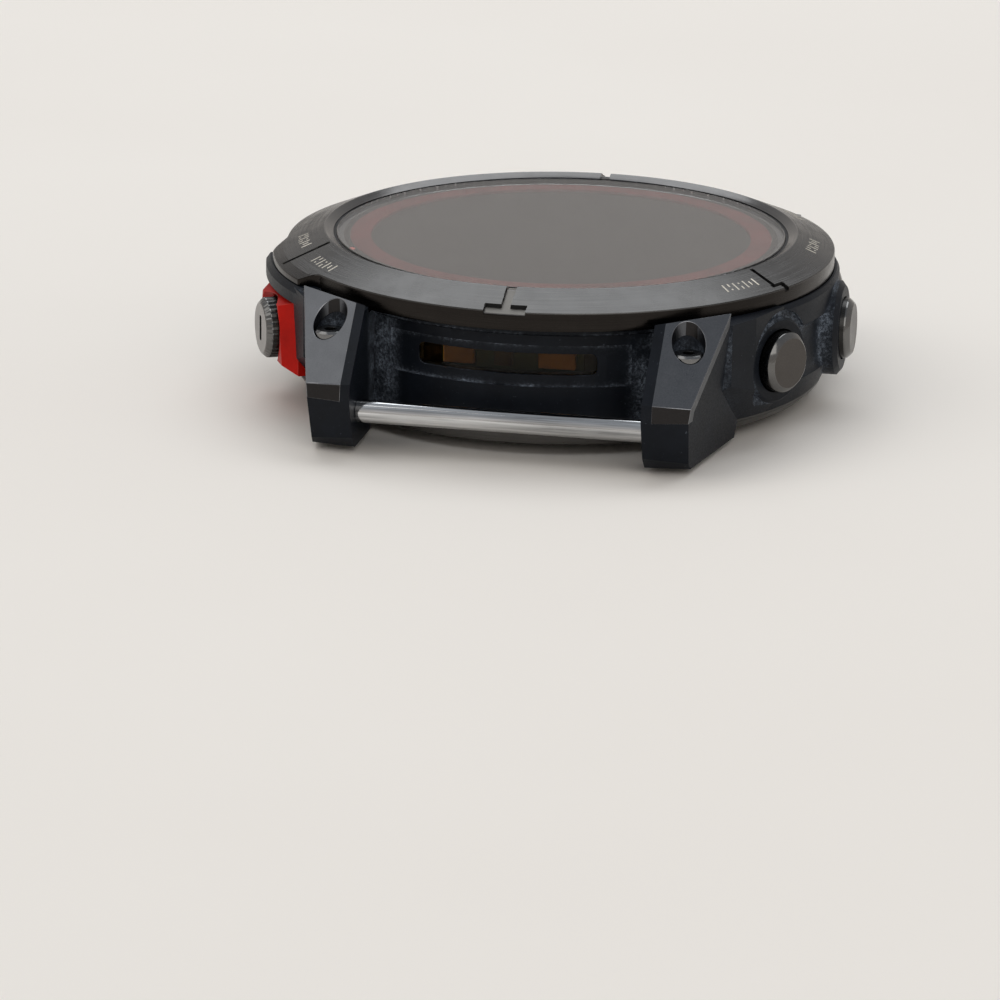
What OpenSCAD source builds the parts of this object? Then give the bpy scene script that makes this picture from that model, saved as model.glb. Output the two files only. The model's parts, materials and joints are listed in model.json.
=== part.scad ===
// Multi-sport running watch head: round case, steel bezel, five side buttons and four strap lugs.
// Millimetres. +X is 3 o'clock, +Y is 12 o'clock, +Z leaves the dial. The origin is the centre of the
// sensor window's face, which rests on the wrist.

/* [Bezel and glass] */
// Height of the bezel's inner rim above the wrist
rim_z = 14.9; // [14.7:0.1:15.2]
// Radius of the bezel's inner rim
rim_r = 21.65; // [21.5:0.05:21.8]
// Radius of the bezel's sharp outer edge
bezel_r = 25.1; // [25.0:0.05:25.3]
// Height of the bezel's sharp outer edge
bezel_edge_z = 13.5; // [13.3:0.05:13.6]
// Radius of the ear that shields the start button
ear_r = 26.6; // [26.0:0.1:26.8]
// Radius of the crystal
crystal_r = 20.6; // [20.4:0.05:20.7]
// Thickness of the crystal
crystal_t = 1.2; // [0.8:0.1:1.2]

/* [Case] */
// Outer radius of the case's upper band
case_r = 25.6; // [25.5:0.05:25.8]
// Radius of the recessed band between the buttons
waist_r = 25.1; // [25.0:0.05:25.3]
// Inner radius of the case
cavity_r = 21.2; // [21.2:0.05:21.3]
// Radius of the wall behind the strap
strap_wall_r = 23; // [22.9:0.05:23.1]

/* [Strap lugs] */
// Clear width between the two lugs that hold one strap
strap_w = 26; // [25.6:0.1:26.2]
// Thickness of the steel lug caps
cap_t = 0.9; // [0.8:0.05:1.1]
// Distance of the strap pin's axis from the centre
pin_y = 25.66; // [25.5:0.02:25.8]
// Height of the strap pin's axis
pin_z = 3.74; // [3.6:0.02:3.9]
// Radius of the strap pin
pin_r = 1.05; // [0.95:0.05:1.1]

/* [Buttons] */
// Height of the button axes
button_z = 7.2; // [7.1:0.05:7.3]
// Radius of a button cap
button_r = 2.75; // [2.6:0.05:2.8]
// How far a button travels inwards
button_travel = 0.45; // [0.3:0.05:0.45]
// Distance of the start button's face from the centre
start_face = 28.3; // [27.9:0.1:28.4]
// Distance of the up button's face from the centre
up_face = 27.3; // [27.0:0.1:27.5]
// Distance of the other three button faces from the centre
side_face = 27.0; // [26.8:0.1:27.2]

/* [Hidden] */
$fn = 72;
eps = 0.01;
reach = 60;

// Angles of the buttons, anticlockwise from 3 o'clock
start_a = 28;
light_a = 151;
up_a = 180;
down_a = 209;
back_a = 332;
BUTTON_ANGLES = [start_a, light_a, up_a, down_a, back_a];

// Levels of the stack, from the wrist up
cover_z = 1.0;
cover_r = 24.2;
case_z = 2.2;
case_top_z = 11.5;
skirt_z = 11.8;
ear_z = 12.3;
flange_z = 12.5;
seat_z = 13.2;
glass_z = rim_z - 0.37;
recess_top_z = 10.9;

// Bezel
ear_start = 11;
ear_angle = 29;
bezel_slope = (rim_z - bezel_edge_z) / (bezel_r - rim_r);
slit_w = 0.35;
slit_depth = 0.3;
foot_w = 3.74;

// Planes of a lug in the +X +Y corner, each a unit normal and its distance from the origin
FACE_N = [0.2107, 0.6828, 0.6995];
face_d = 26.94;
SIDE_N = [0.978, 0.187, -0.089];
side_d = 21.41;
TIP_N = [0.230, 0.963, 0.142];
tip_d = 31.36;
CHIN_N = [0.220, 0.932, -0.288];
chin_d = 28.08;
TOE_N = [0.100, 0.700, -0.707];
toe_d = 19.38;
lug_x = strap_w / 2;
cap_x = lug_x + 0.9;
lug_z = 0.6;
cap_low_z = 5.2;
CAP_REAR_N = [0.398, 0.917, 0];
cap_rear_d = 25.93;
lug_top_z = 12.1;
lip_z = 12.0;
lug_screw_x = 16.1;
lug_screw_y = 23.0;
lug_screw_hole_r = 1.5;
lug_screw_head_z = 8.8;
low_lug_z = 12.2;

// Buttons
pocket_floor = 24.0;
pocket_r = button_r + 0.15;
side_recess_r = 4.6;
side_recess_floor = 25.05;
side_collar_r = 3.9;
SIDE_ANGLES = [light_a, down_a, back_a];
skirt_in = pocket_floor + button_travel + 0.25;
crown_in = 25.6;
stem_r = 1.1;
stem_in = 20.2;
guide_r = stem_r + 0.05;
sleeve_r = 1.85;
sleeve_in = 20.9;
seal_at = 23.65;
seal_wire_r = 0.2;
seal_bore_r = 1.55;
clip_in = 20.55;
clip_out = 20.85;
groove_r = 0.75;

// Bevels of the start guard, in the button's own frame: X points down, Z out of the case
guard_face = 27.4;
GUARD_TOP_N = [-0.9104, 0, 0.4138];
guard_top_d = 13.846;
GUARD_LOW_N = [0.8779, 0, 0.4789];
guard_low_d = 15.27;
GUARD_SIDE_N = [-0.1746, 0.6014, 0.7795];
guard_side_d = 23.56;

// Inside
board_z = 9.5;
board_r = 20.4;
battery_r = 17;
battery_z = 3.4;
battery_t = 4.4;
can_z = 8.1;
MOTOR_AT = [-5.5, -13];
BUZZER_AT = [5.5, -13];
motor_r = 4;
motor_z = 4.9;
motor_t = 2.8;
shaft_r = 0.4;
port_y = -16.2;
CONTACT_X = [-2.25, -0.75, 0.75, 2.25];
contact_r = 0.35;
cover_screw_r = 22.0;
COVER_SCREW_ANGLES = [30, 90, 150, 210, 270, 330];
sensor_hole_r = 11.4;
window_r = 8.45;

// Flashlight in the wall between the 12 o'clock lugs
lamp_x = 0.4;
lamp_w = 16.2;
lamp_z = 7.2;
lamp_h = 2.0;
lamp_corner = 0.6;

BUTTON_NODES = [for (part = ["button", "seal", "clip", "spring"])
    for (where = ["start", "light", "up", "down", "back"]) str(part, "_", where)];

// ---- helpers ----

// Everything on the inner side of a plane
module below_plane(normal, distance) {
    rotate([0, acos(normal[2]), atan2(normal[1], normal[0])])
        translate([-reach, -reach, distance - 2 * reach])
            cube(2 * reach);
}

// Turns a child's +Z to point outwards at an angle round the case
module facing_out(angle, height = button_z) {
    rotate([0, 0, angle])
        translate([0, 0, height])
            rotate([0, 90, 0])
                children();
}

// Puts a copy of the child in each of the four corners
module four_corners() {
    for (mx = [0, 1], my = [0, 1])
        mirror([mx, 0, 0]) mirror([0, my, 0]) children();
}

// Flat ring between two radii
module ring(inner, outer, low, high) {
    translate([0, 0, low])
        difference() {
            cylinder(r = outer, h = high - low);
            translate([0, 0, -eps]) cylinder(r = inner, h = high - low + 2 * eps);
        }
}

// Box centred in X and Y, from one level to another
module slab(size_x, size_y, low, high) {
    translate([-size_x / 2, -size_y / 2, low]) cube([size_x, size_y, high - low]);
}

// ---- bezel and display ----

module bezel_profile() {
    polygon([
        [21.0, seat_z], [19.7, seat_z], [19.7, flange_z], [22.2, flange_z], [22.2, skirt_z],
        [bezel_r - 0.15, skirt_z], [bezel_r, skirt_z + 0.15], [bezel_r, bezel_edge_z],
        [rim_r + 0.05, rim_z - 0.02], [rim_r - 0.05, rim_z], [21.0, glass_z]
    ]);
}

module ear_profile() {
    ear_edge_z = bezel_edge_z - bezel_slope * (ear_r - bezel_r);
    polygon([
        [24, ear_z], [ear_r, ear_z], [ear_r, ear_edge_z], [24, bezel_edge_z + bezel_slope * (bezel_r - 24)]
    ]);
}

// Cuts a groove into the bezel's sloping face, along the radius at an angle
module bezel_slit(angle, width, inner, outer) {
    rotate([0, 0, angle])
        translate([rim_r, 0, rim_z - slit_depth])
            rotate([0, atan(bezel_slope), 0])
                translate([inner - rim_r, -width / 2, 0])
                    cube([outer - inner, width, 2]);
}

module bezel() {
    color([0.30, 0.29, 0.28])
        difference() {
            union() {
                rotate_extrude() bezel_profile();
                rotate([0, 0, ear_start]) rotate_extrude(angle = ear_angle) ear_profile();
            }
            bezel_slit(start_a, slit_w, 21.8, 26.0);
            bezel_slit(light_a + 1.4, slit_w, 21.8, 24.5);
            bezel_slit(90, 1.0, 21.3, 26.0);
            bezel_slit(90, foot_w, 24.1, 26.0);
            bezel_slit(270, 1.0, 21.3, 26.0);
            bezel_slit(270, foot_w, 24.1, 26.0);
        }
}

module bezel_gasket() {
    color([0.05, 0.05, 0.05]) ring(22.3, 22.8, case_top_z, skirt_z);
}

module crystal() {
    color([0.45, 0.43, 0.41, 0.5])
        translate([0, 0, glass_z - crystal_t])
            rotate_extrude()
                polygon([
                    [0, 0], [crystal_r, 0], [crystal_r, crystal_t - 0.2],
                    [crystal_r - 0.2, crystal_t], [0, crystal_t]
                ]);
}

module crystal_gasket() {
    color([0.04, 0.04, 0.05])
        rotate_extrude()
            polygon([
                [19.9, seat_z], [21.0, seat_z], [21.0, glass_z - 0.12], [crystal_r, glass_z - 0.12],
                [crystal_r, glass_z - crystal_t], [19.9, glass_z - crystal_t]
            ]);
}

module solar_ring() {
    color([0.42, 0.30, 0.27]) ring(17.4, 19.3, 13.1, glass_z - crystal_t);
}

module display_panel() {
    color([0.10, 0.10, 0.10])
        union() {
            translate([0, 0, 12.1]) cylinder(r = 17.9, h = 0.9);
            translate([-3.5, -18.1, 12.1]) cube([7, 5, 0.4]);
        }
}

module backlight() {
    color([0.85, 0.86, 0.84]) translate([0, 0, 11.45]) cylinder(r = 18.3, h = 0.6);
}

module display_frame() {
    color([0.20, 0.21, 0.23])
        difference() {
            union() {
                translate([0, 0, 10.9]) cylinder(r = 20.9, h = 0.5);
                ring(18.75, 19.5, 10.9, 13.0);
            }
            slab(12, 6, 10, 12);
            for (angle = [45, 135, 225, 315])
                rotate([0, 0, angle]) translate([20.2, 0, 10]) cylinder(r = 0.4, h = 2);
        }
}

module gps_antenna() {
    color([0.72, 0.52, 0.30]) ring(21.3, 22.1, case_top_z, flange_z - 0.05);
}

// ---- case ----

module shell_profile() {
    polygon([
        [cavity_r, case_z - 0.2], [24.2, case_z - 0.2], [25.4, 4.6], [waist_r, 5.2], [waist_r, 9.2],
        [case_r, 9.6], [case_r, 11.6], [case_r - 0.25, lip_z], [cavity_r, lip_z]
    ]);
}

// Full outer form of the +X +Y lug, cap and polymer together
module lug_envelope() {
    intersection() {
        translate([lug_x, 12, lug_z]) cube([12, 20, 14]);
        below_plane(FACE_N, face_d);
        below_plane(SIDE_N, side_d);
        below_plane(TIP_N, tip_d);
        below_plane(CHIN_N, chin_d);
        below_plane(TOE_N, toe_d);
    }
}

// Where the steel cap lies on the lug
module cap_region() {
    intersection() {
        difference() {
            lug_envelope();
            below_plane(CAP_REAR_N, cap_rear_d);
            intersection() {
                below_plane(FACE_N, face_d - cap_t);
                below_plane(TIP_N, tip_d - cap_t);
            }
        }
        translate([cap_x, 12, cap_low_z]) cube([12, 20, 14]);
    }
}

// Flared web that carries the lug's outer side into the case, drawn in towards the back
module lug_web() {
    intersection() {
        translate([0, 0, case_z])
            linear_extrude(height = lug_top_z - case_z)
                polygon([[12, 12], [lug_x, 21.5], [19.4, 19.6], [21.0, 16.6], [22.7, 11.9]]);
        rotate_extrude()
            polygon([
                [0, 1.9], [24.1, 1.9], [27.6, 6.6], [28.2, 11.6], [27.8, lug_top_z], [0, lug_top_z]
            ]);
    }
}

// Polymer lug: the envelope up to the web's level, less the cap
module lug() {
    difference() {
        union() {
            difference() {
                lug_envelope();
                intersection() {
                    below_plane(CAP_REAR_N, cap_rear_d);
                    translate([0, 0, lug_top_z]) cube(reach);
                }
            }
            lug_web();
        }
        cap_region();
    }
}

// Shoulder of the case under the bezel's ear
module start_shoulder() {
    rotate([0, 0, ear_start + 1])
        rotate_extrude(angle = ear_angle + 2)
            polygon([
                [24.9, 9.9], [26.4, 10.3], [27.0, 10.7], [27.0, 11.7], [26.6, ear_z - 0.02],
                [24.9, ear_z - 0.02]
            ]);
}

// Raised collar round the up button
module up_collar() {
    facing_out(up_a) {
        translate([0, 0, 23]) cylinder(r = 4.3, h = 3.0);
        translate([0, 0, 26.0 - eps]) cylinder(r1 = 4.3, r2 = 3.8, h = 0.4);
    }
}

module strap_space() {
    for (side = [0, 180])
        rotate([0, 0, side]) {
            difference() {
                translate([-lug_x, 12, -1]) cube([strap_w, 20, 20]);
                translate([0, 0, -2]) cylinder(r = strap_wall_r, h = 22);
            }
            difference() {
                translate([-lug_x, 12, recess_top_z]) cube([strap_w, 20, 9]);
                translate([0, 0, 0]) cylinder(r = strap_wall_r - 0.15, h = 22);
            }
        }
}

// Room for one button: its sleeve bore, and the pocket round its cap
module button_space(angle) {
    facing_out(angle) {
        translate([0, 0, 20]) cylinder(r = sleeve_r, h = 5);
        translate([0, 0, pocket_floor]) cylinder(r = pocket_r, h = 8);
    }
}

// Low collar round a side button, standing in the round recess
module side_collar(angle) {
    facing_out(angle) {
        translate([0, 0, 23]) cylinder(r = side_collar_r, h = 2.45);
        translate([0, 0, 25.45 - eps]) cylinder(r1 = side_collar_r, r2 = side_collar_r - 0.25, h = 0.25);
    }
}

// Window of the flashlight, with round corners, through the wall
module lamp_window() {
    half_w = lamp_w / 2 - lamp_corner;
    half_h = lamp_h / 2 - lamp_corner;
    translate([lamp_x, 26, lamp_z + lamp_h / 2])
        rotate([90, 0, 0])
            linear_extrude(height = 8)
                polygon([
                    for (side = [[1, 1, 0], [-1, 1, 90], [-1, -1, 180], [1, -1, 270]], step = [0 : 4])
                        [
                            side[0] * half_w + lamp_corner * cos(side[2] + step * 22.5),
                            side[1] * half_h + lamp_corner * sin(side[2] + step * 22.5)
                        ]
                ]);
}

module flashlight_space() {
    lamp_window();
    difference() {
        translate([lamp_x - 11, 18, lamp_z - 1]) cube([22, 8, lamp_h + 1.8]);
        translate([0, 0, 1]) cylinder(r = strap_wall_r - 0.25, h = 14);
    }
}

module vent_space() {
    facing_out(270, 6.5) {
        translate([0, 0, 20]) cylinder(r = 0.4, h = 3);
        translate([0, 0, 22.2]) cylinder(r = 1.3, h = 3);
    }
}

module pin_holes() {
    for (side = [-1, 1])
        translate([0, side * pin_y, pin_z]) rotate([0, 90, 0])
            translate([0, 0, -15.9]) cylinder(r = 0.8, h = 31.8);
}

module lug_screw_hole() {
    translate([lug_screw_x, lug_screw_y, lug_screw_head_z]) cylinder(r = lug_screw_hole_r, h = 10);
    translate([lug_screw_x, lug_screw_y, 3.5]) cylinder(r = 0.65, h = 10);
}

// Space over the 6 o'clock lugs, which end lower than the pair at 12 o'clock
module low_lug_space() {
    translate([-25, -35, low_lug_z]) cube([50, 20, 3]);
}

module case_body() {
    color([0.07, 0.08, 0.10])
        difference() {
            union() {
                difference() {
                    union() {
                        rotate_extrude() shell_profile();
                        four_corners() lug();
                        start_shoulder();
                        up_collar();
                    }
                    for (angle = SIDE_ANGLES)
                        facing_out(angle) translate([0, 0, side_recess_floor]) cylinder(r = side_recess_r, h = 8);
                }
                for (angle = SIDE_ANGLES)
                    side_collar(angle);
            }
            translate([0, 0, 1]) cylinder(r = cavity_r, h = 14);
            translate([0, 0, case_top_z]) cylinder(r = bezel_r + 0.05, h = 5);
            translate([0, 0, -1]) cylinder(r = cover_r + 0.15, h = case_z + 1);
            strap_space();
            flashlight_space();
            vent_space();
            pin_holes();
            four_corners() lug_screw_hole();
            low_lug_space();
            for (angle = BUTTON_ANGLES)
                button_space(angle);
            guard_block(24.8, reach);
            for (angle = COVER_SCREW_ANGLES)
                rotate([0, 0, angle]) translate([cover_screw_r, 0, 1]) cylinder(r = 0.5, h = 3.2);
        }
}

module lug_cap() {
    color([0.32, 0.33, 0.35])
        difference() {
            cap_region();
            lug_screw_hole();
        }
}

module low_lug_cap() {
    color([0.32, 0.33, 0.35])
        difference() {
            mirror([0, 1, 0]) lug_cap();
            low_lug_space();
        }
}

module lug_cap_12_right() { lug_cap(); }
module lug_cap_12_left() { mirror([1, 0, 0]) lug_cap(); }
module lug_cap_6_right() { low_lug_cap(); }
module lug_cap_6_left() { mirror([1, 0, 0]) low_lug_cap(); }

module lug_screws() {
    color([0.75, 0.74, 0.72])
        four_corners()
            translate([lug_screw_x, lug_screw_y, 0])
                difference() {
                    union() {
                        translate([0, 0, 3.6]) cylinder(r = 0.6, h = lug_screw_head_z - 3.3);
                        translate([0, 0, lug_screw_head_z]) cylinder(r = 1.4, h = 1.3);
                        translate([0, 0, lug_screw_head_z + 1.3]) cylinder(r1 = 1.4, r2 = 1.2, h = 0.2);
                    }
                    translate([0, 0, lug_screw_head_z + 0.8]) cylinder(r = 0.6, h = 2, $fn = 6);
                }
}

module strap_pin() {
    color([0.82, 0.83, 0.84])
        translate([0, pin_y, pin_z]) rotate([0, 90, 0])
            union() {
                translate([0, 0, -lug_x]) cylinder(r = pin_r, h = strap_w);
                translate([0, 0, -15.8]) cylinder(r = 0.78, h = 31.6);
            }
}

module strap_pin_12() { strap_pin(); }
module strap_pin_6() { rotate([0, 0, 180]) strap_pin(); }

// Outline of the start guard: a trapezium wider at its lower edge
module guard_outline(top_half, low_half, top, low) {
    polygon([
        [-top, -top_half], [-top, top_half], [-(top - 1.6), top_half + 0.75],
        [-low, low_half], [-low, -low_half], [-(top - 1.6), -top_half - 0.75]
    ]);
}

module guard_block(from, to) {
    facing_out(start_a)
        translate([0, 0, from])
            linear_extrude(height = to - from) guard_outline(4.2, 6.0, 3.3, -3.1);
}

module start_guard() {
    color([0.70, 0.09, 0.05])
        difference() {
            intersection() {
                guard_block(24.85, guard_face);
                facing_out(start_a)
                    intersection() {
                        below_plane(GUARD_TOP_N, guard_top_d);
                        below_plane(GUARD_LOW_N, guard_low_d);
                        below_plane(GUARD_SIDE_N, guard_side_d);
                        mirror([0, 1, 0]) below_plane(GUARD_SIDE_N, guard_side_d);
                    }
            }
            facing_out(start_a)
                rotate_extrude()
                    polygon([[0, 20], [pocket_r, 20], [pocket_r, 26.7], [4.2, 28], [4.2, 30], [0, 30]]);
        }
}

module flashlight_lens() {
    color([0.25, 0.18, 0.08, 0.6])
        intersection() {
            ring(21.6, 22.45, lamp_z - 1, lamp_z + lamp_h + 1);
            lamp_window();
        }
}

module flashlight_board() {
    color([0.10, 0.28, 0.16]) translate([-6.2, 19.4, 6.4]) cube([12.8, 0.6, 3.0]);
}

module flashlight_leds() {
    color([0.85, 0.62, 0.20])
        for (led = [[-3.9, 3.3], [0.9, 1.6], [4.9, 2.8]])
            translate([led[0] - led[1] / 2, 20.0, 7.35]) cube([led[1], 0.7, 1.7]);
}

module pressure_vent() {
    color([0.35, 0.35, 0.36])
        facing_out(270, 6.5)
            difference() {
                translate([0, 0, 22.2]) cylinder(r = 1.3, h = 0.6);
                for (angle = [0 : 60 : 300])
                    rotate([0, 0, angle]) translate([0.75, 0, 22]) cylinder(r = 0.15, h = 2);
            }
}

// ---- electronics ----

module main_board() {
    color([0.07, 0.25, 0.17])
        difference() {
            translate([0, 0, board_z]) cylinder(r = board_r, h = 0.8);
            for (angle = [45, 135, 225, 315])
                rotate([0, 0, angle]) translate([19.4, 0, board_z - 1]) cylinder(r = 0.5, h = 3);
            translate([-6, -14, board_z - 1]) slab(3, 8, 0, 3);
        }
}

module shield_cans() {
    color([0.74, 0.74, 0.72]) {
        translate([-6.5, 5, 0]) slab(10, 11, can_z, board_z);
        translate([5.5, 7, 0]) slab(9, 8, can_z, board_z);
        translate([6, -3.5, 0]) slab(11, 7, can_z, board_z);
    }
}

module battery() {
    color([0.62, 0.64, 0.66])
        intersection() {
            translate([0, 0, battery_z]) cylinder(r = battery_r, h = battery_t);
            translate([-20, -8.4, 0]) cube([40, 40, 12]);
        }
}

module motor_housing() {
    color([0.70, 0.70, 0.70])
        translate([MOTOR_AT[0], MOTOR_AT[1], motor_z])
            union() {
                difference() {
                    cylinder(r = motor_r, h = motor_t);
                    translate([0, 0, 0.4]) cylinder(r = motor_r - 0.4, h = motor_t - 0.8);
                }
                cylinder(r = shaft_r, h = motor_t - 0.2);
            }
}

// Half-disc weight that turns on the motor's shaft
module motor_rotor() {
    color([0.45, 0.45, 0.47])
        translate([MOTOR_AT[0], MOTOR_AT[1], motor_z + 0.6])
            difference() {
                union() {
                    cylinder(r = 1.1, h = 1.6);
                    intersection() {
                        cylinder(r = 3.2, h = 1.6);
                        translate([-4, 0, 0]) cube([8, 4, 1.6]);
                    }
                }
                translate([0, 0, -1]) cylinder(r = shaft_r + 0.05, h = 4);
            }
}

module buzzer() {
    color([0.75, 0.65, 0.38])
        translate([BUZZER_AT[0], BUZZER_AT[1], motor_z])
            union() {
                cylinder(r = 4, h = 0.5);
                cylinder(r = 2.8, h = 0.9);
            }
}

// ---- buttons ----

module button_sleeve() {
    rotate_extrude()
        polygon([
            [guide_r, sleeve_in], [2.15, sleeve_in], [2.15, 21.05], [sleeve_r, 21.05],
            [sleeve_r, pocket_floor], [seal_bore_r, pocket_floor], [seal_bore_r, 22.9], [guide_r, 22.9]
        ]);
}

module button_sleeves() {
    color([0.60, 0.60, 0.60])
        for (angle = BUTTON_ANGLES)
            facing_out(angle) button_sleeve();
}

// Cap and stem in one piece: the stem's groove takes the clip, the hollow crown takes the spring
module button(angle, face) {
    color([0.34, 0.33, 0.32])
        facing_out(angle)
            rotate_extrude()
                polygon([
                    [0, stem_in], [stem_r, stem_in], [stem_r, clip_in - 0.05], [groove_r, clip_in - 0.05],
                    [groove_r, sleeve_in], [stem_r, sleeve_in], [stem_r, crown_in],
                    [button_r - 0.3, crown_in], [button_r - 0.3, skirt_in], [button_r, skirt_in],
                    [button_r, face - 0.3], [button_r - 0.3, face], [0, face]
                ]);
}

module seal(angle) {
    color([0.03, 0.03, 0.03])
        facing_out(angle)
            rotate_extrude()
                translate([stem_r + seal_wire_r, seal_at]) circle(r = seal_wire_r, $fn = 24);
}

module clip(angle) {
    color([0.65, 0.65, 0.66])
        facing_out(angle)
            rotate_extrude(angle = 300)
                translate([groove_r, clip_in]) square([0.85, clip_out - clip_in]);
}

// Coil spring between the pocket's floor and the crown, swept along a helix
module spring(angle) {
    coil_r = 1.95;
    wire_r = 0.12;
    turns = 3;
    per_turn = 16;
    sides = 6;
    low = pocket_floor + wire_r + 0.02;
    high = crown_in - wire_r - 0.02;
    steps = turns * per_turn;
    points = [for (i = [0 : steps]) for (j = [0 : sides - 1])
        let (turn = 360 * i / per_turn,
             radius = coil_r + wire_r * cos(360 * j / sides),
             level = low + (high - low) * i / steps + wire_r * sin(360 * j / sides))
        [radius * cos(turn), radius * sin(turn), level]];
    walls = [for (i = [0 : steps - 1]) for (j = [0 : sides - 1])
        let (k = (j + 1) % sides)
        [i * sides + j, i * sides + k, (i + 1) * sides + k, (i + 1) * sides + j]];
    ends = [[for (j = [0 : sides - 1]) sides - 1 - j], [for (j = [0 : sides - 1]) steps * sides + j]];
    color([0.78, 0.78, 0.78])
        facing_out(angle) polyhedron(points = points, faces = concat(walls, ends));
}

module button_start() {
    difference() {
        button(start_a, start_face);
        facing_out(start_a) slab(2.3, 0.7, start_face - 0.4, start_face + 1);
    }
}
module button_light() { button(light_a, side_face); }
module button_up() { button(up_a, up_face); }
module button_down() { button(down_a, side_face); }
module button_back() { button(back_a, side_face); }

module tact_switches() {
    color([0.15, 0.15, 0.16])
        for (angle = BUTTON_ANGLES)
            facing_out(angle)
                union() {
                    slab(3, 3, 18.9, 19.4);
                    translate([0, 0, 19.4 - eps]) cylinder(r = 0.8, h = 0.3);
                }
}

module button_flex() {
    color([0.75, 0.42, 0.12])
        for (start = [-45, 135])
            rotate([0, 0, start])
                rotate_extrude(angle = 90)
                    translate([18.55, 5.4]) square([0.28, 3.6]);
}

// ---- back ----

module port_hole(grow) {
    translate([0, port_y, 0]) slab(7.6 + grow, 4.0 + grow, 0.5, 4.6);
}

module back_cover() {
    color([0.42, 0.42, 0.42])
        difference() {
            union() {
                rotate_extrude()
                    polygon([
                        [sensor_hole_r, cover_z], [cover_r - 1, cover_z], [cover_r, 1.9], [cover_r, case_z],
                        [sensor_hole_r, case_z]
                    ]);
                ring(19.6, 20.4, case_z - eps, 3.0);
            }
            port_hole(0.1);
            for (side = [0, 180])
                rotate([0, 0, side])
                    difference() {
                        translate([-lug_x, 12, 0]) cube([strap_w, 20, 5]);
                        cylinder(r = strap_wall_r + 0.2, h = 6);
                    }
            for (angle = COVER_SCREW_ANGLES)
                rotate([0, 0, angle]) translate([cover_screw_r, 0, 0]) {
                    cylinder(r = 0.55, h = 3);
                    cylinder(r = 1.05, h = 1.6);
                }
        }
}

module back_screws() {
    color([0.55, 0.55, 0.55])
        for (angle = COVER_SCREW_ANGLES)
            rotate([0, 0, angle]) translate([cover_screw_r, 0, 0])
                difference() {
                    union() {
                        translate([0, 0, 1.05]) cylinder(r = 1.0, h = 0.55);
                        translate([0, 0, 1.5]) cylinder(r = 0.48, h = 2.5);
                    }
                    cylinder(r = 0.45, h = 1.4, $fn = 6);
                }
}

module back_gasket() {
    color([0.05, 0.05, 0.05]) ring(20.45, cavity_r - 0.05, case_z, 2.9);
}

module sensor_housing() {
    color([0.06, 0.06, 0.07])
        rotate_extrude()
            polygon([
                [window_r, 0], [10.6, 0], [12.55, cover_z - 0.03], [sensor_hole_r - 0.03, cover_z - 0.03],
                [sensor_hole_r - 0.03, 2.6], [window_r, 2.6]
            ]);
}

module sensor_window() {
    color([0.10, 0.10, 0.12, 0.7]) cylinder(r = window_r, h = 0.7);
}

module sensor_board() {
    color([0.10, 0.28, 0.16]) translate([0, 0, 1.7]) cylinder(r = 8.2, h = 0.6);
}

// Two green lamps and four light detectors round a red lamp
module sensor_optics() {
    color([0.30, 0.70, 0.35]) {
        for (angle = [45 : 90 : 315])
            rotate([0, 0, angle]) translate([5, 0, 0]) slab(2.6, 2.6, 0.9, 1.7);
        for (angle = [0 : 90 : 270])
            rotate([0, 0, angle]) translate([2.4, 0, 0]) slab(1.2, 1.2, 0.9, 1.7);
    }
}

module charge_socket() {
    color([0.05, 0.05, 0.05])
        difference() {
            translate([0, port_y, 0]) slab(7.6, 4.0, cover_z + 0.05, 4.6);
            translate([0, port_y, 0]) slab(6.6, 3.0, 0, 3.4);
            for (x = CONTACT_X)
                translate([x, port_y, 3]) cylinder(r = contact_r + 0.03, h = 2);
        }
}

module charge_contacts() {
    color([0.85, 0.65, 0.25])
        for (x = CONTACT_X)
            translate([x, port_y, 2.2]) cylinder(r = contact_r, h = 2.2);
}

// ---- output ----

bezel();
bezel_gasket();
crystal();
crystal_gasket();
solar_ring();
display_panel();
backlight();
display_frame();
gps_antenna();
case_body();
lug_cap_12_right();
lug_cap_12_left();
lug_cap_6_right();
lug_cap_6_left();
lug_screws();
strap_pin_12();
strap_pin_6();
start_guard();
flashlight_lens();
flashlight_leds();
flashlight_board();
pressure_vent();
main_board();
shield_cans();
battery();
motor_housing();
motor_rotor();
buzzer();
button_sleeves();
tact_switches();
button_flex();
back_cover();
back_screws();
back_gasket();
sensor_housing();
sensor_window();
sensor_board();
sensor_optics();
charge_socket();
charge_contacts();
button_start();
button_light();
button_up();
button_down();
button_back();
seal(start_a);  // seal_start
seal(light_a);  // seal_light
seal(up_a);  // seal_up
seal(down_a);  // seal_down
seal(back_a);  // seal_back
clip(start_a);  // clip_start
clip(light_a);  // clip_light
clip(up_a);  // clip_up
clip(down_a);  // clip_down
clip(back_a);  // clip_back
spring(start_a);  // spring_start
spring(light_a);  // spring_light
spring(up_a);  // spring_up
spring(down_a);  // spring_down
spring(back_a);  // spring_back
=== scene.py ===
"""Looks of the running watch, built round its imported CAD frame. Metres, in the CAD's own frame."""
import itertools
import json
import math

import bmesh
import bpy
from mathutils import Matrix, Vector


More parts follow.
